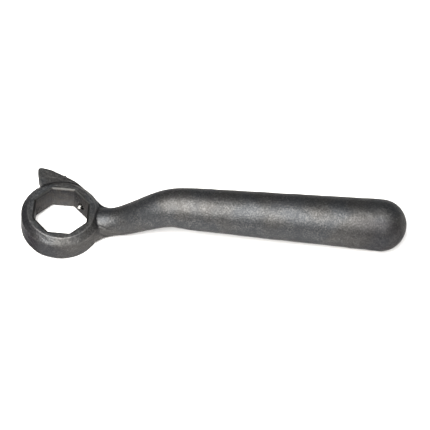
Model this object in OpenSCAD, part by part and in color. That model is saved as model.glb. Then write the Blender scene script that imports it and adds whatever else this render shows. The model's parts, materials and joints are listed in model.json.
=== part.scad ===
// Hydrant wrench: a cast ring with an eight-sided socket, a spanner horn, an offset neck and
// a round tapered handle, with a spring plunger screwed into the socket wall.
// Millimetres. Origin on the socket's axis at the ring's lower face, +Z up the socket's axis,
// +X along the handle.

/* [Socket ring] */
// Distance across the flats of the eight-sided socket
socket_af = 38.5; // [36:0.1:39.5]
// Outer diameter of the ring
ring_d = 59; // [57:0.5:62]
// Height of the ring
ring_h = 20; // [18:0.5:24]
// Width and height of the chamfer round the ring's upper edge
ring_chamfer = 4.6; // [2:0.1:5]
// Edge break round the ring's lower edge
ring_break = 0.8; // [0.4:0.1:1.5]
// Lead-in bevel at the top of each socket flat
lead_in = 1.2; // [0.6:0.1:1.6]

/* [Spanner horn] */
// Height of the horn's lower face
horn_low = 7; // [5:0.5:8]
// Thickness of the horn
horn_h = 8; // [6:0.5:8.4]
// Radius of the horn's long outer edge
horn_edge_r = 47.6; // [44:0.2:50]
// Radius of the horn's rounded tip
horn_tip_r = 2.5; // [2:0.1:3]

/* [Neck] */
// Height of the neck's centre where it leaves the ring
neck_z = 10.5; // [10.2:0.1:11]
// Radius of the neck where it leaves the ring
neck_r = 10.3; // [9.5:0.1:10.4]
// Distance from the socket's axis to the start of the neck's rise
rise_start = 33; // [32:0.5:36]
// Distance from the socket's axis to the end of the neck's rise
rise_end = 86.5; // [82:0.5:90]

/* [Handle] */
// Height of the handle's centre
handle_z = 35.4; // [32:0.2:38]
// Radius of the handle where it meets the neck
grip_r = 15.5; // [14:0.1:16.5]
// Radius of the handle's round end
end_r = 19.2; // [17:0.1:20]
// Overall reach from the socket's axis to the handle's tip
reach = 254; // [230:1:280]

/* [Spring plunger] */
// Height of the plunger's axis above the ring's lower face
plunger_z = 9; // [8.5:0.5:11]
// Radius of the plunger's sleeve, to the mean of its thread
sleeve_r = 3.38; // [3.3:0.02:3.5]
// Length of the sleeve
sleeve_len = 9; // [8.8:0.1:9.1]
// Distance from a socket flat back to the sleeve's front face
sleeve_recess = 1.15; // [0.8:0.05:1.3]
// Radius of the plunger pin's nose
nose_r = 1.5; // [1.3:0.05:1.6]
// Distance that the nose stands out of the socket flat at rest
nose_out = 2.65; // [2:0.05:2.8]
// Travel of the pin
travel = 2.6; // [2:0.05:2.7]

/* [Hidden] */
$fn = 96;

// Through cuts run this far past the faces that they cut
over = 1;
ring_r = ring_d / 2;
socket_corner = 1 / cos(22.5);

// The neck: upright elliptical slices along +X, taller where the neck rises so that it stays
// round across its own axis, and flared where it meets the ring
neck_sides = 32;
neck_steps = 38;
neck_from = 20;
grip_x = 94;
neck_to = grip_x + 4;
flare_end = 36;
flare_slope = 0.7;
flare_flat = 0.25;
seam = 0.15;

// The horn: a rounded tip, a long arc and a straight run to the neck
horn_edge_c = [-20.7, -5.3];
horn_tip_c = [-18.6, 39.8];
horn_root = [31, 13];
horn_arc_end = 51;
horn_steps = 12;

// The plunger, along its own axis from the socket's centre outwards
plunger_angle = 45;
hole_gap = 0.02;
slide_gap = 0.03;
lip = 1;
head_r = 2.3;
head_len = 1.75;
head_gap = 0.05;
rear_wall = 1.3;
slot_w = 1;
slot_depth = 0.7;
front = socket_af / 2 + sleeve_recess;
bore_from = front + lip;
bore_to = front + sleeve_len - rear_wall;
head_from = bore_from + head_gap;
nose_tip = socket_af / 2 - nose_out;
wire_r = 0.225;
coil_r = 1.85;
coil_turns = 4.5;
coil_sides = 8;
coil_steps = 14;

function smooth(t) = let (c = max(0, min(1, t))) c * c * (3 - 2 * c);
function centre_z(x) =
    neck_z + (handle_z - neck_z) * smooth((x - rise_start) / (rise_end - rise_start));
function radius(x) =
    let (t = max(0, min(1, (x - flare_end) / (grip_x - flare_end))))
        neck_r + (grip_r - seam - neck_r) * pow(t, 1.15);
function rise(x) =
    let (t = max(0, min(1, (x - rise_start) / (rise_end - rise_start))))
        (handle_z - neck_z) * 6 * t * (1 - t) / (rise_end - rise_start);
function half_w(x) = radius(x) + flare_slope * max(0, flare_end - x);
function half_h(x) = radius(x) * sqrt(1 + pow(rise(x), 2)) - flare_flat * max(0, flare_end - x);
function station(i) = neck_from + (neck_to - neck_from) * i / neck_steps;
function section(x) = [
    for (k = [0 : neck_sides - 1])
        let (a = 360 * k / neck_sides)
        [x, half_w(x) * cos(a), centre_z(x) + half_h(x) * sin(a)]
];
function arc(c, r, from, to, steps) = [
    for (i = [0 : steps])
        let (a = from + (to - from) * i / steps)
        [c.x + r * cos(a), c.y + r * sin(a)]
];

// A closed tube through rings of points: rings of `sides` points each, with flat ends
module tube(points, sides) {
    rings = len(points) / sides;
    walls = [
        for (i = [0 : rings - 2], k = [0 : sides - 1])
            let (a = i * sides + k, b = i * sides + (k + 1) % sides)
            [a, a + sides, b + sides, b]
    ];
    first = [for (k = [0 : sides - 1]) k];
    last = [for (k = [sides - 1 : -1 : 0]) (rings - 1) * sides + k];
    polyhedron(concat(points), concat(walls, [first], [last]), convexity = 6);
}

// Puts a shape that is modelled up +Z onto the plunger's axis
module on_plunger_axis() {
    translate([0, 0, plunger_z])
        rotate([0, 0, plunger_angle])
            rotate([0, 90, 0])
                children();
}

module ring_blank() {
    wall_h = ring_h - ring_chamfer - ring_break;
    cylinder(h = ring_break, r1 = ring_r - ring_break, r2 = ring_r);
    translate([0, 0, ring_break])
        cylinder(h = wall_h, r = ring_r);
    translate([0, 0, ring_h - ring_chamfer])
        cylinder(h = ring_chamfer, r1 = ring_r, r2 = ring_r - ring_chamfer);
}

module horn() {
    tip = arc(horn_tip_c, horn_tip_r, 188, 86, 6);
    edge = arc(horn_edge_c, horn_edge_r, 86, horn_arc_end, horn_steps);
    inner = [[26, 8], [10, 22], [-10, 22], [-17.4, 23.4], [-18.9, 27], [-19.9, 31]];
    translate([0, 0, horn_low])
        linear_extrude(height = horn_h)
            polygon(concat(tip, edge, [horn_root], inner));
}

module neck() {
    points = [for (i = [0 : neck_steps]) each section(station(i))];
    tube(points, neck_sides);
}

module handle() {
    grip_len = reach - end_r - grip_x;
    translate([grip_x, 0, handle_z])
        rotate([0, 90, 0])
            cylinder(h = grip_len, r1 = grip_r, r2 = end_r);
    translate([reach - end_r, 0, handle_z])
        sphere(r = end_r);
}

module socket_cut() {
    corner_r = socket_af / 2 * socket_corner;
    mouth_r = (socket_af / 2 + lead_in) * socket_corner;
    rotate([0, 0, 22.5]) {
        translate([0, 0, -over])
            cylinder(h = ring_h + 2 * over, r = corner_r, $fn = 8);
        translate([0, 0, ring_h - lead_in])
            cylinder(h = lead_in, r1 = corner_r, r2 = mouth_r, $fn = 8);
    }
}

module plunger_hole() {
    on_plunger_axis()
        translate([0, 0, socket_af / 2 - over])
            cylinder(h = sleeve_len + 8, r = sleeve_r + hole_gap);
}

module wrench_casting() {
    color("dimgray")
        difference() {
            union() {
                ring_blank();
                horn();
                neck();
                handle();
            }
            socket_cut();
            plunger_hole();
        }
}

module plunger_sleeve() {
    color("#2b2b2d")
        on_plunger_axis()
            difference() {
                translate([0, 0, front])
                    cylinder(h = sleeve_len, r = sleeve_r);
                translate([0, 0, front - over])
                    cylinder(h = lip + 2 * over, r = nose_r + slide_gap);
                translate([0, 0, bore_from])
                    cylinder(h = bore_to - bore_from, r = head_r + slide_gap);
                translate([-sleeve_r - over, -slot_w / 2, front + sleeve_len - slot_depth])
                    cube([2 * (sleeve_r + over), slot_w, slot_depth + over]);
            }
}

module plunger_pin() {
    nose_c = nose_tip + nose_r;
    color("silver")
        on_plunger_axis() {
            translate([0, 0, nose_c])
                sphere(r = nose_r);
            translate([0, 0, nose_c])
                cylinder(h = head_from - nose_c, r = nose_r);
            translate([0, 0, head_from])
                cylinder(h = head_len, r = head_r);
        }
}

module plunger_spring() {
    coil_from = head_from + head_len + wire_r + 0.02;
    coil_to = bore_to - wire_r - 0.02;
    turns_total = floor(coil_turns * coil_steps);
    points = [
        for (i = [0 : turns_total], k = [0 : coil_sides - 1])
            let (
                a = 360 * i / coil_steps,
                b = -360 * k / coil_sides,
                r = coil_r + wire_r * cos(b),
                z = coil_from + (coil_to - coil_from) * i / turns_total + wire_r * sin(b)
            )
            [r * cos(a), r * sin(a), z]
    ];
    color("lightsteelblue")
        on_plunger_axis()
            tube(points, coil_sides);
}

wrench_casting();
plunger_sleeve();
plunger_pin();
plunger_spring();
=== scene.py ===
"""The looks of the hydrant wrench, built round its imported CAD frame.

The casting is one smooth surface: the ring, horn, web, neck and handle are distance functions that are
blended with the fillets of a casting, meshed, and then cut by the socket and the plunger's hole.
The spring plunger's three pieces are turned profiles and a swept helix. Shapes are worked out in
millimetres and turned into metres where a mesh is made.
"""

import json
import math

import bpy
import numpy as np
from mathutils import Matrix, Vector


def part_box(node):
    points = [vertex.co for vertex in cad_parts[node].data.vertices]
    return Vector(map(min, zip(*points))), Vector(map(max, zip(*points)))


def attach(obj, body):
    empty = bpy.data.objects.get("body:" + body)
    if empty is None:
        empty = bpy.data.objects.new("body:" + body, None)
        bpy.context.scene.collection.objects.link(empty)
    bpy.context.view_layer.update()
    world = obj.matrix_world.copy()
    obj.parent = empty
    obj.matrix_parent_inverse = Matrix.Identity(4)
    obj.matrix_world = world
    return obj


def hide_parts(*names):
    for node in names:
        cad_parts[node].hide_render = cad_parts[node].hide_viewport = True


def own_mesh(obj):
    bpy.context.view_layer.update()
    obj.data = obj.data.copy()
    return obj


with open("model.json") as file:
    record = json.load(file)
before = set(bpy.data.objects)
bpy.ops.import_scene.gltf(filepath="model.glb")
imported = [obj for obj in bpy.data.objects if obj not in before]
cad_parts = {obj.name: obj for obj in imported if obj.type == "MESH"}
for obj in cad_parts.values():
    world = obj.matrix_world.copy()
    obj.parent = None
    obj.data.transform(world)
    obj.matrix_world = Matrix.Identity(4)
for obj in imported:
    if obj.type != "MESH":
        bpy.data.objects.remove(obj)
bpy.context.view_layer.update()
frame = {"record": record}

MM = 0.001
MOUNTS = {m["name"]: m for m in frame["record"]["mounts"]}
cast_low, cast_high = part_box("wrench_casting")

# Ring
RING_R = -cast_low.x / MM
RING_H = MOUNTS["ring_upper_face"]["pos_m"][2] / MM
RING_CHAMFER = 4.6
RING_BREAK = 0.25
CHAMFER_FOOT = RING_H - RING_CHAMFER
CHAMFER_BLEND = 0.3
TOP_BLEND = 0.25
LOWER_BLEND = 0.4
CORE_R = 17.0  # the ring is left open inside this radius, which is well within the socket

# Socket
SOCKET_AF = 38.5
SOCKET_SIDES = 8
SOCKET_CORNER_R = 0.35
SOCKET_LOWER_R = 0.35
SOCKET_TOP_R = 0.25
LEAD_IN = 1.2

# Spanner horn: its plan is a rounded tip, a long outer edge, a run into the neck, and an inner side
HORN_LOW = 7.0
HORN_H = 8.0
HORN_TIP_R = 2.5
HORN_TIP_C = (-18.6, 39.8)
HORN_TIP_ARC = (188, 76)
HORN_EDGE = ((-11.0, 41.0), (-4.0, 37.9), (2.3, 34.9), (8.0, 31.9), (15.5, 25.9))
HORN_ROOT = ((20.0, 21.9), (24.6, 16.9), (28.2, 13.3), (31.6, 10.8), (35.5, 9.3), (42.0, 8.8))
HORN_INNER = ((42, 2), (20, 8), (-10, 22), (-16.2, 23.6), (-17.7, 26.6), (-19.5, 31))
HORN_ROUND = 0.9
HORN_FILLET = 3.0

# Web on the other side, which fairs the neck into the ring; its face leans in towards the top
WEB_LOW = 3.4
WEB_HIGH = 15.4
WEB_LEAN = 0.34
WEB_START = ((14.0, -14.0), (19.0, -22.0))
WEB_EDGE = (
    (21.6, -19.5), (24.5, -17.0), (27.0, -15.1), (29.7, -12.9),
    (32.5, -10.9), (35.6, -9.3), (40.0, -8.0),
)
WEB_END = ((40.0, 0.0), (20.0, 0.0))
WEB_ROUND = 1.2
WEB_FILLET = 1.0

# Fillet between the ring and what grows out of it: narrow at the chamfer and foot, and wider between
RING_FILLET = 0.35
WALL_FILLET = 1.2
WALL_TOP = (CHAMFER_FOOT, CHAMFER_FOOT - 3)
WALL_FOOT = (3, 7)

# Neck and handle
TUBE_START = 18.0
NECK_Z = 10.5
NECK_R = 10.3
RISE_START = 33.0
RISE_END = 86.5
SWELL_START = 37.0
SWELL_POWER = 1.15
SWELL_BLEND = 0.5
CROWN_END = 36.0
CROWN_DROP = 0.2
CROWN_EASE = 3.0
GRIP_X = 94.0
GRIP_R = 15.5
END_R = 19.2
END_X = cast_high.x / MM - END_R
HANDLE_Z = cast_high.z / MM - END_R

# Marks on the casting, each along a line: its start, end, height and width
PARTING_FLASH = ((28.4, -9.3, 15.3), (42.0, -10.6, 11.9), 0.06, 0.5)
PARTING_GROOVE = ((28.6, -8.3, 16.2), (40.0, -9.8, 13.4), 0.22, 0.5)
HORN_BURR = ((-0.4, 36.5, 14.6), (1.0, 35.8, 14.6), 0.75, 0.8)
HORN_PIT = ((-0.6, 34.4, 15.0), (0.6, 32.6, 15.0), 0.3, 0.7)

# Grid that the casting is meshed on: stretches of each axis as (from, to, spacing)
FINE = 0.56
GRID_X = ((-30.6, 46, FINE), (46, 96, 0.8), (96, 232, 1.3), (232, 255, 0.9))
GRID_Y = ((-30.6, -20, FINE), (-20, 20, FINE), (20, 43.6, FINE))
GRID_Z = ((-0.78, 55.6, FINE),)

# Spring plunger, along its own axis from the socket's centre outwards
PLUNGER_ANGLE = math.radians(45)
PLUNGER_COS, PLUNGER_SIN = math.cos(PLUNGER_ANGLE), math.sin(PLUNGER_ANGLE)
PLUNGER_Z = sum(corner.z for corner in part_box("plunger_pin")) / 2 / MM
SLEEVE_R = 3.38
SLEEVE_LEN = 9.0
SLEEVE_RECESS = 1.15
SLEEVE_FRONT = SOCKET_AF / 2 + SLEEVE_RECESS
SLEEVE_REAR = SLEEVE_FRONT + SLEEVE_LEN
SLEEVE_END_R = SLEEVE_R - 0.5
SLEEVE_BEVEL_R = SLEEVE_R - 0.45
LIP = 1.0
LIP_BEVEL = 0.2
NOSE_R = 1.5
NOSE_PLAY = 0.1
NOSE_OUT = 2.65
NOSE_TIP = SOCKET_AF / 2 - NOSE_OUT
HEAD_R = 2.3
HEAD_PLAY = 0.03
HEAD_GAP = 0.05
HEAD_FROM = SLEEVE_FRONT + LIP + HEAD_GAP
HEAD_LEN = 1.75
HEAD_FRONT_BEVEL = 0.15
HEAD_REAR_BEVEL = 0.2
REAR_WALL = 1.3
SLOT_W = 1.0
SLOT_DEPTH = 0.7
SLOT_REACH = 5
THREAD_PITCH = 1.06
THREAD_DEPTH = 0.3
THREAD_FLANK = 2.6
THREAD_CREST = 0.15
THREAD_PLAY = 0.03
THREAD_INSET = 0.05
THREAD_ROWS = 9
COUNTERSINK = 0.2
HOLE_MOUTH = 0.5
HOLE_BEFORE = 1.5
HOLE_BEYOND = 6
HOLE_SIDES = 48
TURNED_SIDES = 40
WIRE_R = 0.225
WIRE_SIDES = 12
COIL_R = 1.85
COIL_TURNS = 4.5
COIL_STEPS = 28
CLOSED_TURNS = 0.8


# ---------------------------------------------------------------- distance functions


def smooth_min(a, b, k):
    """The smaller of a and b, with a fillet about k wide where they meet."""
    h = np.maximum(k - np.abs(a - b), 0) / k
    return np.minimum(a, b) - h * h * k / 4


def smooth_max(a, b, k):
    """The larger of a and b, with an edge about k wide rounded off where they meet."""
    return -smooth_min(-a, -b, k)


def smooth_step(t):
    t = np.clip(t, 0, 1)
    return t * t * (3 - 2 * t)


def fade(value, start, end):
    """From 0 where value is at start, smoothly to 1 where it is at end."""
    return smooth_step((value - start) / (end - start))


def centre_z(x):
    """Height of the centre line of the neck and handle."""
    return NECK_Z + (HANDLE_Z - NECK_Z) * fade(x, RISE_START, RISE_END)


def centre_slope(x):
    """How steeply that centre line rises."""
    t = np.clip((x - RISE_START) / (RISE_END - RISE_START), 0, 1)
    return (HANDLE_Z - NECK_Z) * 6 * t * (1 - t) / (RISE_END - RISE_START)


def tube_radius(x):
    """Radius of the neck and handle: it swells into the grip and then grows evenly to the end."""
    t = np.maximum(x - SWELL_START, 0) / (GRIP_X - SWELL_START)
    neck = NECK_R + (GRIP_R - NECK_R) * t**SWELL_POWER
    grip = GRIP_R + (END_R - GRIP_R) * (x - GRIP_X) / (END_X - GRIP_X)
    return smooth_min(neck, grip, SWELL_BLEND)


def tube(x, y, z):
    """Neck and handle: round about a centre line in the XZ plane, with a lower crown at the ring."""
    c = np.clip(x, TUBE_START, END_X)
    for _ in range(6):
        slope = centre_slope(c)
        c = c + ((x - c) + (z - centre_z(c)) * slope) / (1 + slope * slope)
        c = np.clip(c, TUBE_START, END_X)
    r = tube_radius(c)
    t = CROWN_END - c
    drop = CROWN_DROP * (t + np.sqrt(t * t + CROWN_EASE**2)) / 2
    up = z - centre_z(c)
    off = np.hypot(x - c, np.where(up > 0, up * r / (r - drop), up))
    return np.hypot(off, y) - r


def ring(x, y, z):
    """The ring without its socket: wall, chamfer, edge break and two faces."""
    rho = np.hypot(x, y)
    side = rho - RING_R
    chamfer = (side + z - CHAMFER_FOOT) / math.sqrt(2)
    edge_break = (side + RING_BREAK - z) / math.sqrt(2)
    d = smooth_max(side, chamfer, CHAMFER_BLEND)
    d = smooth_max(d, z - RING_H, TOP_BLEND)
    d = smooth_max(d, edge_break, LOWER_BLEND)
    d = smooth_max(d, -z, LOWER_BLEND)
    return np.maximum(d, CORE_R - rho)


def arc(centre, r, start, end, count):
    """Points along an arc between two angles in degrees."""
    a = np.radians(np.linspace(start, end, count + 1))
    return np.stack([centre[0] + r * np.cos(a), centre[1] + r * np.sin(a)], 1)


def spline(points, count):
    """A smooth open curve through points, with count stretches between each two of them."""
    p = np.array(points)
    p = np.concatenate([[2 * p[0] - p[1]], p, [2 * p[-1] - p[-2]]])
    t = (np.arange(count) / count)[:, None]
    pieces = [
        0.5 * (2 * b + (c - a) * t + (2 * a - 5 * b + 4 * c - d) * t**2 + (3 * b - a - 3 * c + d) * t**3)
        for a, b, c, d in zip(p, p[1:], p[2:], p[3:])
    ]
    return np.concatenate(pieces + [p[-2:-1]])


def horn_outline():
    tip = arc(HORN_TIP_C, HORN_TIP_R, *HORN_TIP_ARC, 8)
    return np.concatenate([tip, spline(HORN_EDGE + HORN_ROOT, 4), HORN_INNER])


def web_outline():
    return np.concatenate([WEB_START, spline(WEB_EDGE, 3), WEB_END])


def polygon_distance(x, y, outline):
    """Signed distance in plan to a closed outline, below zero inside."""
    best = np.full(np.broadcast(x, y).shape, np.inf)
    inside = np.zeros(best.shape, bool)
    for a, b in zip(outline, np.roll(outline, -1, 0)):
        ex, ey = b - a
        t = np.clip(((x - a[0]) * ex + (y - a[1]) * ey) / (ex * ex + ey * ey), 0, 1)
        best = np.minimum(best, np.hypot(x - a[0] - t * ex, y - a[1] - t * ey))
        crosses = (a[1] > y) != (b[1] > y)
        inside ^= crosses & (x < a[0] + (y - a[1]) * ex / (ey if ey else 1e-9))
    return np.where(inside, -best, best)


def rounded_plate(x, y, z, outline, low, high, edge, lean=0.0):
    """A plan outline pulled up from low to high, with rounded edges and sides that may lean in."""
    plan = (polygon_distance(x, y, outline) + lean * (z - low)) / math.hypot(1, lean) + edge
    up = np.abs(z - (low + high) / 2) - ((high - low) / 2 - edge)
    outside = np.hypot(np.maximum(plan, 0), np.maximum(up, 0))
    return np.minimum(np.maximum(plan, up), 0) + outside - edge


def make_waves(seed, count, longest, shortest, height):
    """Plane waves in random directions, from longest to shortest; the short ones are lower."""
    rng = np.random.default_rng(seed)
    waves = []
    for i in range(count):
        way = rng.normal(size=3)
        way /= np.linalg.norm(way)
        length = longest * (shortest / longest) ** (i / (count - 1))
        share = height * (length / longest) ** 0.8
        waves.append((way * 2 * math.pi / length, rng.uniform(0, 2 * math.pi), share))
    return waves


def lumps(x, y, z):
    """The slow unevenness of a sand-cast and tumbled skin, in millimetres."""
    total = 0.0
    for (kx, ky, kz), phase, height in LUMP_WAVES:
        total = total + height * np.sin(kx * x + ky * y + kz * z + phase)
    return total


def bead(x, y, z, start, end, height, width):
    """A low ridge along a straight line, which dies out over its last quarter, such as casting flash."""
    sx, sy, sz = start
    ex, ey, ez = (end[i] - start[i] for i in range(3))
    t = ((x - sx) * ex + (y - sy) * ey + (z - sz) * ez) / (ex * ex + ey * ey + ez * ez)
    t = np.clip(t, 0, 1)
    away = (x - sx - t * ex) ** 2 + (y - sy - t * ey) ** 2 + (z - sz - t * ez) ** 2
    return height * np.exp(-away / (width * width)) * smooth_step(4 * (1 - t))


def casting(x, y, z):
    """The whole casting before it is machined."""
    horn = rounded_plate(x, y, z, HORN_PLAN, HORN_LOW, HORN_LOW + HORN_H, HORN_ROUND)
    web = rounded_plate(x, y, z, WEB_PLAN, WEB_LOW, WEB_HIGH, WEB_ROUND, WEB_LEAN)
    d = smooth_min(horn, tube(x, y, z), HORN_FILLET)
    d = smooth_min(d, web, WEB_FILLET)
    on_wall = fade(z, *WALL_TOP) * fade(z, *WALL_FOOT)
    d = smooth_min(ring(x, y, z), d, RING_FILLET + WALL_FILLET * on_wall)
    d = d - bead(x, y, z, *PARTING_FLASH) + bead(x, y, z, *PARTING_GROOVE)
    d = d - bead(x, y, z, *HORN_BURR) + bead(x, y, z, *HORN_PIT)
    return d - lumps(x, y, z)


def socket_distance(x, y, z):
    """How far a point is outside the socket's walls, in plan, at its height."""
    half = SOCKET_AF / 2 + np.maximum(z - (RING_H - LEAD_IN), 0)
    turns = 2 * math.pi * np.arange(SOCKET_SIDES) / SOCKET_SIDES
    reach = np.max([x * math.cos(a) + y * math.sin(a) for a in turns], axis=0)
    return reach - half


def finished(x, y, z):
    """The casting once its socket is cut."""
    return np.maximum(casting(x, y, z), -socket_distance(x, y, z))


HORN_PLAN = horn_outline()
WEB_PLAN = web_outline()
LUMP_WAVES = make_waves(seed=11, count=18, longest=36.0, shortest=2.6, height=0.05)


# ---------------------------------------------------------------- meshing


def grid_lines(stretches):
    """Grid lines along one axis: each stretch is (from, to, spacing)."""
    lines = [
        np.linspace(a, b, max(1, round((b - a) / size)), endpoint=False)
        for a, b, size in stretches
    ]
    return np.append(np.concatenate(lines), stretches[-1][1])


def crossing_points(volume, axes, cells):
    """The mean of the points where the surface cuts each cell's edges."""
    corners = [(i, j, k) for i in (0, 1) for j in (0, 1) for k in (0, 1)]
    at = [tuple(cells[:, n] + c[n] for n in range(3)) for c in corners]
    value = [volume[index] for index in at]
    place = [np.stack([axes[n][index[n]] for n in range(3)], 1) for index in at]
    total = np.zeros((len(cells), 3))
    count = np.zeros(len(cells))
    for p, a in enumerate(corners):
        for q in range(p + 1, 8):
            if sum(abs(a[n] - corners[q][n]) for n in range(3)) != 1:
                continue
            cut_here = (value[p] < 0) != (value[q] < 0)
            t = np.where(cut_here, value[p] / np.where(cut_here, value[p] - value[q], 1), 0)
            total += cut_here[:, None] * (place[p] + t[:, None] * (place[q] - place[p]))
            count += cut_here
    return total / count[:, None]


def surface_net(volume, axes):
    """Vertices and quads of the surface where the volume is zero."""
    inside = volume < 0
    full = sum(
        inside[i : i - 1 or None, j : j - 1 or None, k : k - 1 or None].astype(np.int8)
        for i in (0, 1)
        for j in (0, 1)
        for k in (0, 1)
    )
    active = (full > 0) & (full < 8)
    cells = np.argwhere(active)
    number = np.full(active.shape, -1, np.int64)
    number[active] = np.arange(len(cells))
    quads = []
    for n in range(3):
        here = np.take(inside, range(0, inside.shape[n] - 1), n)
        there = np.take(inside, range(1, inside.shape[n]), n)
        edges = np.argwhere(here != there)
        u, v = (n + 1) % 3, (n + 2) % 3
        edges = edges[(edges[:, u] > 0) & (edges[:, v] > 0)]
        around = []
        for du, dv in ((1, 1), (0, 1), (0, 0), (1, 0)):
            cell = edges.copy()
            cell[:, u] -= du
            cell[:, v] -= dv
            around.append(number[tuple(cell.T)])
        quad = np.stack(around, 1)
        flip = ~here[tuple(edges.T)]
        quad[flip] = quad[flip][:, ::-1]
        quads.append(quad)
    return crossing_points(volume, axes, cells), np.concatenate(quads)


def project(points, shape, rounds, step=0.01, reach=0.35):
    """Moves points onto a shape's surface along its slope, by at most reach in each round."""
    for _ in range(rounds):
        x, y, z = points.T
        f = shape(x, y, z)
        slope = np.stack(
            [shape(x + step, y, z) - f, shape(x, y + step, z) - f, shape(x, y, z + step) - f], 1
        )
        slope /= step
        move = -f[:, None] * slope / np.maximum((slope**2).sum(1), 1e-3)[:, None]
        length = np.linalg.norm(move, axis=1)
        points = points + move * np.minimum(1, reach / np.maximum(length, 1e-9))[:, None]
    return points


def relax(points, quads, share):
    """Evens out a mesh by moving each vertex towards the mean of its neighbours."""
    a = quads.ravel()
    b = np.roll(quads, -1, 1).ravel()
    total = len(points)
    count = np.bincount(a, minlength=total) + np.bincount(b, minlength=total)
    sums = [np.bincount(a, points[b, n], total) + np.bincount(b, points[a, n], total) for n in range(3)]
    return points + share * (np.stack(sums, 1) / count[:, None] - points)


def mesh_object(name, points, faces):
    """A mesh object from points in millimetres and faces of any size."""
    mesh = bpy.data.meshes.new(name)
    mesh.vertices.add(len(points))
    mesh.vertices.foreach_set("co", (np.asarray(points) * MM).astype(np.float32).ravel())
    sizes = np.array([len(f) for f in faces])
    mesh.loops.add(int(sizes.sum()))
    mesh.loops.foreach_set("vertex_index", np.concatenate([np.asarray(f) for f in faces]))
    mesh.polygons.add(len(faces))
    mesh.polygons.foreach_set("loop_start", np.concatenate([[0], np.cumsum(sizes)[:-1]]))
    mesh.update(calc_edges=True)
    mesh.validate()
    obj = bpy.data.objects.new(name, mesh)
    bpy.context.scene.collection.objects.link(obj)
    return obj


def loft(rows):
    """Points and faces of a closed skin over rows of points, each row a loop of the same length."""
    count = len(rows[0])
    last = (len(rows) - 1) * count
    faces = []
    for i in range(len(rows) - 1):
        for k in range(count):
            a, b = i * count + k, i * count + (k + 1) % count
            faces.append((a, b, b + count, a + count))
    faces.append(tuple(range(count - 1, -1, -1)))
    faces.append(tuple(last + k for k in range(count)))
    return np.concatenate(rows), faces


def turn_points(r, start, end, count=5):
    """(cosine, sine) points of a part turn of radius r, for a small round edge."""
    return [(r * math.cos(a), r * math.sin(a)) for a in np.radians(np.linspace(start, end, count))]


def socket_profile():
    """Height, and how far the socket's flats stand back there from their nominal size."""
    low, top = SOCKET_LOWER_R, SOCKET_TOP_R
    knee = RING_H - LEAD_IN
    rows = [(-1.0, low + 1.0)]
    rows += [(low - s, low - c) for c, s in turn_points(low, 90, 0)]
    # The knee between flat and bevel is eased over a quarter of a millimetre each way
    rows += [(knee - 0.25, 0.0), (knee - 0.08, 0.02), (knee + 0.08, 0.1), (knee + 0.25, 0.25)]
    rows += [(RING_H - top, LEAD_IN - top), (RING_H - 0.1, LEAD_IN - 0.02), (RING_H, LEAD_IN + 0.25)]
    rows += [(RING_H + 1.0, LEAD_IN + 2.2)]
    return rows


def octagon_row(z, back, corner_points=4):
    """One loop of the socket: an octagon whose corners are rounded."""
    half = SOCKET_AF / 2 + back
    turn = 2 * math.pi / SOCKET_SIDES
    r = SOCKET_CORNER_R
    centre_r = (half - r) / math.cos(turn / 2)
    row = []
    for side in range(SOCKET_SIDES):
        middle = (side + 0.5) * turn
        for s in np.linspace(-turn / 2, turn / 2, corner_points):
            x = centre_r * math.cos(middle) + r * math.cos(middle + s)
            y = centre_r * math.sin(middle) + r * math.sin(middle + s)
            row.append((x, y, z))
    return np.array(row)


def socket_cutter():
    return mesh_object("socket_cutter", *loft([octagon_row(z, back) for z, back in socket_profile()]))


def plunger_object(name, rows):
    """A closed skin over rows that are modelled up +Z, turned to lie along the plunger's axis."""
    points, faces = loft(rows)
    out, side, up = points[:, 2], points[:, 1], -points[:, 0]
    x = out * PLUNGER_COS - side * PLUNGER_SIN
    y = out * PLUNGER_SIN + side * PLUNGER_COS
    return mesh_object(name, np.stack([x, y, up + PLUNGER_Z], 1), faces)


def hole_cutter():
    """The tapped hole, with a small countersink at each mouth."""
    inner, outer = SOCKET_AF / 2, RING_R + HOLE_MOUTH

    def widened(u, r):
        return np.maximum(r, SLEEVE_R + COUNTERSINK + max(inner - u, u - outer))

    rows = threaded(inner - HOLE_BEFORE, outer + HOLE_BEYOND, widened, HOLE_SIDES, THREAD_PLAY)
    return plunger_object("hole_cutter", rows)


def cut(obj, *cutters):
    """Cuts obj by each cutter, and removes the cutters."""
    for cutter in cutters:
        modifier = obj.modifiers.new("cut", "BOOLEAN")
        modifier.operation = "DIFFERENCE"
        modifier.solver = "EXACT"
        modifier.object = cutter
    bpy.context.view_layer.update()
    graph = bpy.context.evaluated_depsgraph_get()
    mesh = bpy.data.meshes.new_from_object(obj.evaluated_get(graph))
    obj.modifiers.clear()
    obj.data = mesh
    for cutter in cutters:
        bpy.data.objects.remove(cutter)


def shade(obj, sharp_degrees):
    """Smooth shading, apart from edges that bend by more than sharp_degrees."""
    obj.data.polygons.foreach_set("use_smooth", [True] * len(obj.data.polygons))
    obj.data.set_sharp_from_angle(angle=math.radians(sharp_degrees))


def make_casting():
    """The casting's surface, drawn on a grid, evened out, and cut by the socket and the hole."""
    axes = tuple(grid_lines(stretches) for stretches in (GRID_X, GRID_Y, GRID_Z))
    volume = casting(axes[0][:, None, None], axes[1][None, :, None], axes[2][None, None, :])
    points, quads = surface_net(volume, axes)
    for _ in range(3):
        points = project(relax(points, quads, share=0.5), casting, rounds=1)
    points = project(points, casting, rounds=2)
    obj = mesh_object("wrench_body", points, quads)
    cut(obj, socket_cutter(), hole_cutter())
    shade(obj, sharp_degrees=38)
    return obj


# ---------------------------------------------------------------- spring plunger


def turned(profile):
    """Rows of points for a piece turned about its axis from (distance along, radius) pairs."""
    a = 2 * math.pi * np.arange(TURNED_SIDES) / TURNED_SIDES
    return [
        np.stack([max(r, 1e-4) * np.cos(a), max(r, 1e-4) * np.sin(a), np.full(TURNED_SIDES, u)], 1)
        for u, r in profile
    ]


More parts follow.
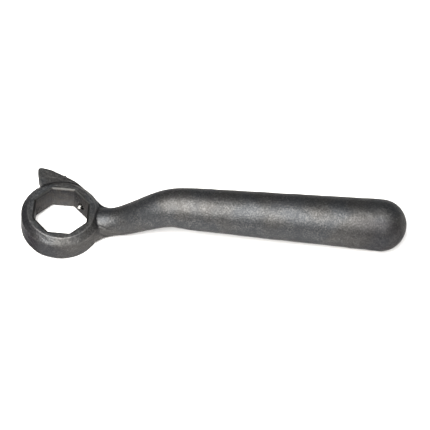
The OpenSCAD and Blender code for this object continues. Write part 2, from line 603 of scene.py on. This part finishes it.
def thread_wave(u, angles):
    """From 0 at a thread's crest to 1 at its root, on one helix for the hole and the sleeve."""
    phase = (u / THREAD_PITCH - angles / (2 * math.pi)) % 1
    return np.clip(THREAD_FLANK * np.abs(phase - 0.5) - THREAD_CREST, 0, 1)


def threaded(start, end, limit, sides, play=0.0):
    """Rows of a screw thread from start to end; limit(u, r) holds its radius at each place."""
    angles = 2 * math.pi * np.arange(sides) / sides
    rows = []
    for u in np.linspace(start, end, round((end - start) / THREAD_PITCH * THREAD_ROWS)):
        r = limit(u, SLEEVE_R - THREAD_DEPTH * thread_wave(u, angles) + play)
        rows.append(np.stack([r * np.cos(angles), r * np.sin(angles), np.full(sides, u)], 1))
    return rows


def make_sleeve():
    """The plunger's threaded sleeve, with a bore for the pin and a slot for a screwdriver."""
    front, rear = SLEEVE_FRONT, SLEEVE_REAR
    bore_r = HEAD_R + HEAD_PLAY
    nose_hole = NOSE_R + NOSE_PLAY
    inside = [(rear - REAR_WALL, 0), (rear - REAR_WALL, bore_r), (front + LIP, bore_r)]
    inside += [(front + LIP, nose_hole), (front + LIP_BEVEL, nose_hole)]
    inside += [(front, nose_hole + LIP_BEVEL), (front, SLEEVE_END_R)]

    def bevelled(u, r):
        return np.minimum(r, SLEEVE_BEVEL_R + min(u - front, rear - u))

    outside = threaded(front + THREAD_INSET, rear - THREAD_INSET, bevelled, TURNED_SIDES)
    rows = turned(inside) + outside + turned([(rear, SLEEVE_END_R), (rear, 0)])
    sleeve = plunger_object("plunger_sleeve_body", rows)
    half, reach = SLOT_W / 2, SLOT_REACH
    slot = [
        np.array([[-half, -reach, u], [half, -reach, u], [half, reach, u], [-half, reach, u]])
        for u in (rear - SLOT_DEPTH, rear + 1)
    ]
    cut(sleeve, plunger_object("slot_cutter", slot))
    shade(sleeve, sharp_degrees=35)
    return sleeve


def make_pin():
    """The plunger's pin: a round nose, a shank, and a head that the spring pushes on."""
    dome = [(NOSE_TIP + NOSE_R * (1 - c), NOSE_R * s) for c, s in turn_points(1, 1, 90, 12)]
    front, rear = HEAD_FROM, HEAD_FROM + HEAD_LEN
    head = [(front, NOSE_R), (front, HEAD_R - HEAD_FRONT_BEVEL), (front + HEAD_FRONT_BEVEL, HEAD_R)]
    head += [(rear - HEAD_REAR_BEVEL, HEAD_R), (rear, HEAD_R - HEAD_REAR_BEVEL), (rear, 0)]
    pin = plunger_object("plunger_pin_body", turned([(NOSE_TIP, 0)] + dome + head))
    shade(pin, sharp_degrees=35)
    return pin


def make_spring():
    """The plunger's coil spring, with a closed coil at each end."""
    start = HEAD_FROM + HEAD_LEN + WIRE_R
    end = SLEEVE_REAR - REAR_WALL - WIRE_R
    turns = np.linspace(0, COIL_TURNS, round(COIL_TURNS * COIL_STEPS) + 1)
    closed = 2 * WIRE_R * CLOSED_TURNS
    along = np.interp(
        turns,
        [0, CLOSED_TURNS, COIL_TURNS - CLOSED_TURNS, COIL_TURNS],
        [start, start + closed, end - closed, end],
    )
    a = 2 * math.pi * turns
    path = np.stack([COIL_R * np.cos(a), COIL_R * np.sin(a), along], 1)
    forward = np.gradient(path, axis=0)
    forward /= np.linalg.norm(forward, axis=1)[:, None]
    outward = np.stack([np.cos(a), np.sin(a), np.zeros_like(a)], 1)
    across = np.cross(forward, outward)
    wire = 2 * math.pi * np.arange(WIRE_SIDES) / WIRE_SIDES
    rows = [
        p + WIRE_R * (np.cos(wire)[:, None] * o + np.sin(wire)[:, None] * c)
        for p, o, c in zip(path, outward, across)
    ]
    spring = plunger_object("plunger_spring_coil", rows)
    shade(spring, sharp_degrees=40)
    return spring


# ---------------------------------------------------------------- materials

COOL_OXIDE = (0.04, 0.042, 0.045)
WARM_OXIDE = (0.046, 0.0445, 0.043)
# Dark for painted shade, and for the darker near side of the handle's end
SHADE_AND_END_DARK = (0.009, 0.008, 0.011)
BARE_IRON = (0.107, 0.106, 0.104)
# Bright of worn edges, and of the painted highlight on the chamfer's front
WORN_AND_HIGHLIGHT_IRON = (0.11, 0.108, 0.104)
CUT_IRON = (0.037, 0.037, 0.035)
# Dark of small pits, and of the painted shade in creases and hollows
PIT_DARK_AND_CREASE_SHADE = (0.02, 0.02, 0.021)
SOCKET_DARK = (0.02, 0.02, 0.022)
SOCKET_BROWN = (0.032, 0.028, 0.025)
FILM_DARK = (0.028, 0.029, 0.032)
FILM_THIN = (0.075, 0.07, 0.064)
STEEL_BRIGHT = (0.72, 0.71, 0.69)
STEEL_STAINED = (0.5, 0.48, 0.45)
WIRE_LIGHT = (0.34, 0.34, 0.36)
WIRE_DARK = (0.2, 0.19, 0.18)


def rgba(colour):
    return (*colour, 1.0) if isinstance(colour, tuple) and len(colour) == 3 else colour


class Tree:
    """A short way of writing a material's nodes."""

    def __init__(self, name):
        self.material = bpy.data.materials.new(name)
        self.material.use_nodes = True
        self.nodes = self.material.node_tree.nodes
        self.links = self.material.node_tree.links
        self.shader = self.nodes["Principled BSDF"]
        self.place = self.nodes.new("ShaderNodeTexCoord").outputs["Object"]

    def link(self, value, socket):
        """Links a node's output to the socket, or sets the socket to a plain value."""
        if isinstance(value, bpy.types.NodeSocket):
            self.links.new(value, socket)
        elif value is not None:
            socket.default_value = value

    def noise(self, size, detail=2.0, rough=0.5, stretch=None, distortion=0.0):
        """Noise whose grain is about size millimetres across."""
        node = self.nodes.new("ShaderNodeTexNoise")
        self.link(self.stretched(stretch), node.inputs["Vector"])
        node.inputs["Scale"].default_value = 1 / (size * MM)
        node.inputs["Detail"].default_value = detail
        node.inputs["Roughness"].default_value = rough
        node.inputs["Distortion"].default_value = distortion
        return node.outputs["Fac"]

    def stretched(self, stretch):
        if stretch is None:
            return self.place
        node = self.nodes.new("ShaderNodeMapping")
        self.link(self.place, node.inputs["Vector"])
        node.inputs["Scale"].default_value = stretch
        return node.outputs["Vector"]

    def attribute(self, name):
        node = self.nodes.new("ShaderNodeAttribute")
        node.attribute_name = name
        return node.outputs["Fac"]

    def math(self, operation, a, b):
        node = self.nodes.new("ShaderNodeMath")
        node.operation = operation
        self.link(a, node.inputs[0])
        self.link(b, node.inputs[1])
        return node.outputs[0]

    def fit(self, value, low, high, to_low=0.0, to_high=1.0, smooth=False):
        """Maps low..high to to_low..to_high and holds it there outside them."""
        node = self.nodes.new("ShaderNodeMapRange")
        node.interpolation_type = "SMOOTHSTEP" if smooth else "LINEAR"
        for socket, item in zip(node.inputs, (value, low, high, to_low, to_high)):
            self.link(item, socket)
        return node.outputs[0]

    def mix(self, share, a, b):
        """Colour a, with a share from 0 to 1 of colour b."""
        node = self.nodes.new("ShaderNodeMix")
        node.data_type = "RGBA"
        self.link(share, node.inputs["Factor"])
        self.link(rgba(a), node.inputs["A"])
        self.link(rgba(b), node.inputs["B"])
        return node.outputs["Result"]

    def bump(self, height, depth, normal=None):
        """Bump of a height from 0 to 1 that is depth millimetres deep."""
        node = self.nodes.new("ShaderNodeBump")
        node.inputs["Strength"].default_value = 1.0
        node.inputs["Distance"].default_value = depth * MM
        self.link(height, node.inputs["Height"])
        self.link(normal, node.inputs["Normal"])
        return node.outputs["Normal"]

    def finish(self, colour, roughness, normal, metallic=1.0, tint=None):
        self.link(colour, self.shader.inputs["Base Color"])
        self.link(roughness, self.shader.inputs["Roughness"])
        self.link(normal, self.shader.inputs["Normal"])
        self.link(metallic, self.shader.inputs["Metallic"])
        if tint:
            self.shader.inputs["Specular Tint"].default_value = (tint, tint, tint, 1)
        return self.material


def cast_iron():
    """Tumbled cast iron under a thin black oxide: mottled, grainy, brighter where it is worn, with a
    painted highlight on the chamfer's front, painted shade in creases and on parts of the ring, and a
    darker near side of the handle's end.
    """
    t = Tree("cast_iron")
    slow = t.noise(26, 2, 0.5)
    patch = t.noise(6.5, 4, 0.6, distortion=0.4)
    grain = t.noise(1.15, 2, 0.6)
    speck = t.noise(0.55, 2, 0.6)
    slight = t.noise(2.4, 2, 0.5)

    oxide = t.mix(t.fit(slow, 0.38, 0.62, smooth=True), COOL_OXIDE, WARM_OXIDE)
    light = t.mix(t.fit(grain, 0.42, 0.66), oxide, BARE_IRON)
    colour = t.mix(t.fit(patch, 0.35, 0.7, 0.25, 0.8), oxide, light)
    colour = t.mix(t.fit(speck, 0.3, 0.52, 0.35, 0.0), colour, PIT_DARK_AND_CREASE_SHADE)
    # Painted shade on the ring's left, its wall's front, the line above it and the plunger's flat, and a
    # darker handle end
    painted_shade_and_dark_end = t.math("MULTIPLY", t.attribute("painted_shade_and_dark_end"), t.fit(patch, 0.3, 0.7, 0.7, 0.9))
    colour = t.mix(painted_shade_and_dark_end, colour, SHADE_AND_END_DARK)
    # Edges rubbed bright by wear, and a painted highlight on the front of the ring's chamfer
    rubbed_and_highlight = t.math("MULTIPLY", t.attribute("edge_wear_and_highlight"), t.fit(slight, 0.4, 0.6, 0.05, 0.45))
    colour = t.mix(rubbed_and_highlight, colour, WORN_AND_HIGHLIGHT_IRON)
    # Painted shade in creases and hollows
    colour = t.mix(t.math("MULTIPLY", t.attribute("crease_shade"), 0.75), colour, PIT_DARK_AND_CREASE_SHADE)

    rough = t.fit(patch, 0.3, 0.7, 0.5, 0.4)
    rough = t.math("ADD", rough, t.fit(speck, 0.3, 0.7, -0.04, 0.04))
    normal = t.bump(t.math("MULTIPLY", slight, t.attribute("dents")), 0.36)
    normal = t.bump(patch, 0.12, normal)
    normal = t.bump(grain, 0.22, normal)
    normal = t.bump(speck, 0.1, normal)
    return t.finish(colour, rough, normal, tint=0.5)


def machined_iron():
    """Broached socket walls, browned by handling, with faint lines along the cut, a clean bevel, and
    painted shade on the flat round the plunger.
    """
    t = Tree("machined_iron")
    lines = t.noise(0.5, 3, 0.55, stretch=(1.0, 1.0, 0.05))
    patch = t.noise(5.0, 4, 0.6)
    speck = t.noise(0.7, 2, 0.6)
    clean = t.attribute("clean")

    colour = t.mix(t.fit(patch, 0.35, 0.68, smooth=True), SOCKET_DARK, SOCKET_BROWN)
    colour = t.mix(t.fit(speck, 0.5, 0.7, 0.0, 0.4), colour, BARE_IRON)
    colour = t.mix(t.math("MULTIPLY", t.attribute("edge_wear_and_highlight"), 0.3), colour, BARE_IRON)
    # Painted shade on the flat round the plunger
    colour = t.mix(t.math("MULTIPLY", t.attribute("painted_shade_and_dark_end"), 0.75), colour, SHADE_AND_END_DARK)
    colour = t.mix(clean, colour, CUT_IRON)

    rough = t.math("SUBTRACT", t.fit(lines, 0.3, 0.7, 0.44, 0.6), t.math("MULTIPLY", clean, 0.14))
    normal = t.bump(speck, 0.03, t.bump(lines, 0.05))
    return t.finish(colour, rough, normal, t.fit(clean, 0.0, 0.4, 0.72, 1.0), tint=0.3)


def black_oxide():
    t = Tree("black_oxide_steel")
    film = t.noise(1.4, 3, 0.6)
    marks = t.noise(0.35, 2, 0.5)
    colour = t.mix(t.fit(film, 0.35, 0.7), FILM_DARK, FILM_THIN)
    return t.finish(colour, t.fit(marks, 0.3, 0.7, 0.36, 0.5), t.bump(marks, 0.02))


def bright_steel():
    t = Tree("bright_steel")
    turning = t.noise(0.3, 2, 0.5)
    stain = t.noise(1.2, 3, 0.55)
    colour = t.mix(t.fit(stain, 0.4, 0.7), STEEL_BRIGHT, STEEL_STAINED)
    return t.finish(colour, t.fit(turning, 0.3, 0.7, 0.16, 0.27), t.bump(turning, 0.006))


def spring_wire():
    t = Tree("spring_wire")
    draw = t.noise(0.25, 2, 0.5)
    colour = t.mix(t.fit(draw, 0.35, 0.65), WIRE_LIGHT, WIRE_DARK)
    return t.finish(colour, t.fit(draw, 0.3, 0.7, 0.28, 0.4), t.bump(draw, 0.006))


# ---------------------------------------------------------------- masks, finishes and painted light of the casting

# Masks from the bend of the surface: which way it bends (1 outwards, -1 inwards), how far from the
# vertex it is measured, and the bends at which the mask starts and is full
EDGE_WEAR = (1, 0.7, 0.12, 0.4)
# Painted shade in creases and hollows
CREASE_SHADE = (-1, 1.6, 0.1, 0.5)

# Painted shade, and the darker near side of the handle's end: its strength on each area, and the
# stretches over which it sets in
SHADE_LEFT = 0.65
SHADE_LEFT_WALL = 0.35
SHADE_LEFT_X = (-3, -21)
SHADE_LEFT_R = (24, 26)
SHADE_LEFT_Y = 24
SHADE_WALL = 0.5
SHADE_WALL_X = (20, -10)
SHADE_WALL_Z = (CHAMFER_FOOT, CHAMFER_FOOT - 1.5)
SHADE_SEAM = 0.9
SHADE_SEAM_X = (6, -6)
SHADE_SEAM_SPREAD = 0.3
DARK_END = 0.55
DARK_END_X = (200, 235)
DARK_END_Y = (-5, -11)
SHADE_BESIDE_PIN = 0.25
HALF_FLAT_ANGLE = math.radians(22.3)

# The painted highlight on the front of the chamfer: its middle and width along X, and its limits in Y
# and Z
HIGHLIGHT_X = 3
HIGHLIGHT_WIDTH = 11
HIGHLIGHT_Y = -22
HIGHLIGHT_FROM = (CHAMFER_FOOT + 0.4, CHAMFER_FOOT + 1.0)
HIGHLIGHT_TO = RING_H - 0.3

# Dents are full on the ring and horn, and shallow on the handle
DENTS_HANDLE = 0.25
DENTS_X = (40, 24)

# How near a face lies to the socket's walls and the hole's axis to belong to them, and how squarely
# it faces the axis to be the flat that the hole goes through
SOCKET_REACH = 22
SOCKET_NEAR = 0.6
FLAT_NEAR = 0.1
HOLE_REACH = 36
HOLE_NEAR = 0.1
FACING = -0.9


def bend_mask(x, y, z, sign, reach, least, most):
    """From 0 to 1 where the surface bends more than least outwards or inwards."""
    around = sum(
        finished(x + a * reach, y + b * reach, z + c * reach)
        for a, b, c in ((1, 0, 0), (-1, 0, 0), (0, 1, 0), (0, -1, 0), (0, 0, 1), (0, 0, -1))
    )
    return fade(sign * (around - 6 * finished(x, y, z)) / reach, least, most)


def painted_shade_and_dark_end_mask(x, y, z):
    """Where dark is painted on: painted shade on the ring's left side, the front of its wall and the
    line above it, and faintly on the socket's flat round the plunger; and a darker near side of the
    handle's end."""
    rho = np.hypot(x, y)
    near = y < 0
    on_wall = fade(z, *SHADE_WALL_Z)
    left = (SHADE_LEFT + SHADE_LEFT_WALL * on_wall) * fade(x, *SHADE_LEFT_X)
    left = left * fade(rho, *SHADE_LEFT_R) * (y < SHADE_LEFT_Y)
    wall = SHADE_WALL * on_wall * fade(x, *SHADE_WALL_X) * near
    off_seam = (rho - RING_R) ** 2 + (z - CHAMFER_FOOT) ** 2
    seam = SHADE_SEAM * np.exp(-off_seam / SHADE_SEAM_SPREAD) * fade(x, *SHADE_SEAM_X) * near
    end = DARK_END * fade(x, *DARK_END_X) * fade(y, *DARK_END_Y)
    off_pin = np.abs(np.arctan2(y, x) - PLUNGER_ANGLE)
    beside_pin = (rho < SOCKET_REACH) & (off_pin < HALF_FLAT_ANGLE)
    return np.maximum.reduce([left, wall, end, seam, SHADE_BESIDE_PIN * beside_pin])


def painted_highlight_mask(x, y, z):
    """Where a highlight is painted on the front of the ring's chamfer."""
    along = np.exp(-(((x - HIGHLIGHT_X) / HIGHLIGHT_WIDTH) ** 2))
    across = fade(z, *HIGHLIGHT_FROM) * (z < HIGHLIGHT_TO)
    return along * across * (y < HIGHLIGHT_Y)


def add_masks(obj):
    """Gives each vertex of the casting the masks that its materials read."""
    points = np.zeros(len(obj.data.vertices) * 3)
    obj.data.vertices.foreach_get("co", points)
    x, y, z = points.reshape(-1, 3).T / MM
    masks = {
        # Worn edges, and the painted highlight on the chamfer's front
        "edge_wear_and_highlight": np.maximum(bend_mask(x, y, z, *EDGE_WEAR), painted_highlight_mask(x, y, z)),
        # Painted shade in creases and hollows
        "crease_shade": bend_mask(x, y, z, *CREASE_SHADE),
        # Painted shade, and the darker near side of the handle's end
        "painted_shade_and_dark_end": painted_shade_and_dark_end_mask(x, y, z),
        "dents": DENTS_HANDLE + (1 - DENTS_HANDLE) * fade(x, *DENTS_X),
        "clean": np.clip((z - RING_H + LEAD_IN) / LEAD_IN, 0, 1),
    }
    for name, values in masks.items():
        layer = obj.data.attributes.new(name, "FLOAT", "POINT")
        layer.data.foreach_set("value", values.astype(np.float32))


def paint_casting(obj):
    """Gives the cut faces of the socket and of the plunger's hole their own finishes."""
    for material in (cast_iron(), machined_iron(), black_oxide()):
        obj.data.materials.append(material)
    skin, socket, hole = range(3)
    count = len(obj.data.polygons)
    centre = np.zeros(count * 3)
    normal = np.zeros(count * 3)
    obj.data.polygons.foreach_get("center", centre)
    obj.data.polygons.foreach_get("normal", normal)
    centre, normal = centre.reshape(-1, 3), normal.reshape(-1, 3)
    x, y, z = centre.T / MM
    rho = np.hypot(x, y)
    off_wall = np.abs(socket_distance(x, y, z))

    inward = (centre * normal * (1, 1, 0)).sum(1) < 0
    in_socket = (off_wall < SOCKET_NEAR) & inward & (rho < SOCKET_REACH)

    # The flat that the hole goes through is one face whose centre may lie on the hole's axis
    facing = normal @ np.array((PLUNGER_COS, PLUNGER_SIN, 0))
    on_flat = in_socket & (facing < FACING) & (off_wall < FLAT_NEAR)
    off_axis = np.hypot(x * PLUNGER_SIN - y * PLUNGER_COS, z - PLUNGER_Z)
    ahead = x * PLUNGER_COS + y * PLUNGER_SIN > 0
    in_hole = (off_axis < SLEEVE_R + HOLE_NEAR) & ahead & (rho < HOLE_REACH) & ~on_flat

    index = np.where(in_hole, hole, np.where(in_socket, socket, skin))
    obj.data.polygons.foreach_set("material_index", index.astype(np.int32))


# ---------------------------------------------------------------- stage, light and camera

EDGE_SHARE = 0.6  # how much of the ring's edge break lies outside the line that touches the floor
FLOOR_SIZE = 4.0
FLOOR_COLOUR = (0.77, 0.76, 0.755, 1)
FLOOR_ROUGHNESS = 0.9
WORLD_LOW = (0.36, 0.37, 0.39, 1)
WORLD_HIGH = (0.52, 0.535, 0.55, 1)
WORLD_HIGH_FROM = 0.85
LIGHT_REACH = 1.2
LIGHT_COLOUR = (1.0, 0.985, 0.96)
# Each light's name, place along X, elevation in degrees, width, height and radiance
SOFTBOXES = (
    ("softbox", -0.315, 65, 0.77, 1.65, 9.0),
    ("softbox_left", -0.81, 67, 0.2, 1.5, 4.0),
    ("softbox_right", 0.57, 59, 1.0, 1.25, 4.0),
    ("softbox_core", -0.315, 65, 0.77, 0.42, 27.0),
)
CAMERA_AIM = (113.8, 12.45, 13.6)
CAMERA_AZIMUTH = -2.98
CAMERA_ELEVATION = 53.53
CAMERA_ROLL = 7.24
CAMERA_DISTANCE = 1.5
CAMERA_LENS = 168.5
CAMERA_SENSOR = 36


def rest_angle():
    """The tilt of the surface that the ring's near edge and the handle's end both rest on."""
    edge_x = RING_R - RING_BREAK * EDGE_SHARE
    across, up = END_X - edge_x, HANDLE_Z
    return math.atan2(up, across) - math.asin(END_R / math.hypot(across, up))


def make_floor(body):
    """A pale floor that body rests on, as it would on a bench."""
    tilt = rest_angle()
    up = Vector((-math.sin(tilt), 0, math.cos(tilt)))
    lowest = min(up.dot(v.co) for v in body.data.vertices)
    mesh = bpy.data.meshes.new("floor")
    corners = [(a * FLOOR_SIZE, b * FLOOR_SIZE, 0) for a, b in ((-1, -1), (1, -1), (1, 1), (-1, 1))]
    mesh.from_pydata(corners, [], [(0, 1, 2, 3)])
    floor = bpy.data.objects.new("floor", mesh)
    bpy.context.scene.collection.objects.link(floor)
    floor.matrix_world = Matrix.Translation(up * lowest) @ Matrix.Rotation(-tilt, 4, "Y")
    material = bpy.data.materials.new("floor")
    material.use_nodes = True
    shader = material.node_tree.nodes["Principled BSDF"]
    shader.inputs["Base Color"].default_value = FLOOR_COLOUR
    shader.inputs["Roughness"].default_value = FLOOR_ROUGHNESS
    mesh.materials.append(material)


def area_light(name, middle_x, rise, size, size_y, radiance):
    """A soft light in front of and above the object, facing it, with its width along X."""
    data = bpy.data.lights.new(name, "AREA")
    data.shape = "RECTANGLE"
    data.size, data.size_y = size, size_y
    data.energy = radiance * math.pi * size * size_y
    data.color = LIGHT_COLOUR
    obj = bpy.data.objects.new(name, data)
    bpy.context.scene.collection.objects.link(obj)
    angle = math.radians(rise)
    back = Vector((0, -math.cos(angle), math.sin(angle)))
    obj.location = Vector((middle_x, 0, 0)) + LIGHT_REACH * back
    obj.rotation_euler = (math.radians(90 - rise), 0, 0)
    obj.visible_camera = False


def make_world():
    """Soft light from all round, brighter from above."""
    world = bpy.data.worlds.new("studio")
    world.use_nodes = True
    bpy.context.scene.world = world
    nodes, links = world.node_tree.nodes, world.node_tree.links
    way = nodes.new("ShaderNodeTexCoord")
    split = nodes.new("ShaderNodeSeparateXYZ")
    ramp = nodes.new("ShaderNodeValToRGB")
    lower, upper = ramp.color_ramp.elements
    lower.color = WORLD_LOW
    upper.color = WORLD_HIGH
    upper.position = WORLD_HIGH_FROM
    links.new(way.outputs["Generated"], split.inputs[0])
    links.new(split.outputs["Z"], ramp.inputs["Fac"])
    links.new(ramp.outputs["Color"], nodes["Background"].inputs["Color"])


def make_camera():
    """The photograph's camera: a long lens, from the front and above, with a little roll."""
    a, e, roll = (math.radians(v) for v in (CAMERA_AZIMUTH, CAMERA_ELEVATION, CAMERA_ROLL))
    level = Vector((math.cos(a), math.sin(a), 0))
    back = Vector((math.sin(a) * math.cos(e), -math.cos(a) * math.cos(e), math.sin(e)))
    up = back.cross(level)
    right = level * math.cos(roll) + up * math.sin(roll)
    data = bpy.data.cameras.new("camera")
    data.lens = CAMERA_LENS
    data.sensor_width = CAMERA_SENSOR
    camera = bpy.data.objects.new("camera", data)
    bpy.context.scene.collection.objects.link(camera)
    turn = Matrix((right, back.cross(right), back)).transposed().to_4x4()
    camera.matrix_world = Matrix.Translation(Vector(CAMERA_AIM) * MM + back * CAMERA_DISTANCE) @ turn
    bpy.context.scene.camera = camera


def main():
    body = make_casting()
    add_masks(body)
    paint_casting(body)
    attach(body, "wrench")
    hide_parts("wrench_casting")

    sleeve = make_sleeve()
    sleeve.data.materials.append(black_oxide())
    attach(sleeve, "wrench")
    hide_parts("plunger_sleeve")

    pin = make_pin()
    pin.data.materials.append(bright_steel())
    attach(pin, "plunger")
    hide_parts("plunger_pin")

    spring = make_spring()
    spring.data.materials.append(spring_wire())
    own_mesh(spring)
    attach(spring, "wrench")
    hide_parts("plunger_spring")

    make_floor(body)
    make_world()
    for softbox in SOFTBOXES:
        area_light(*softbox)
    make_camera()
    bpy.context.scene.view_settings.view_transform = "Standard"


main()
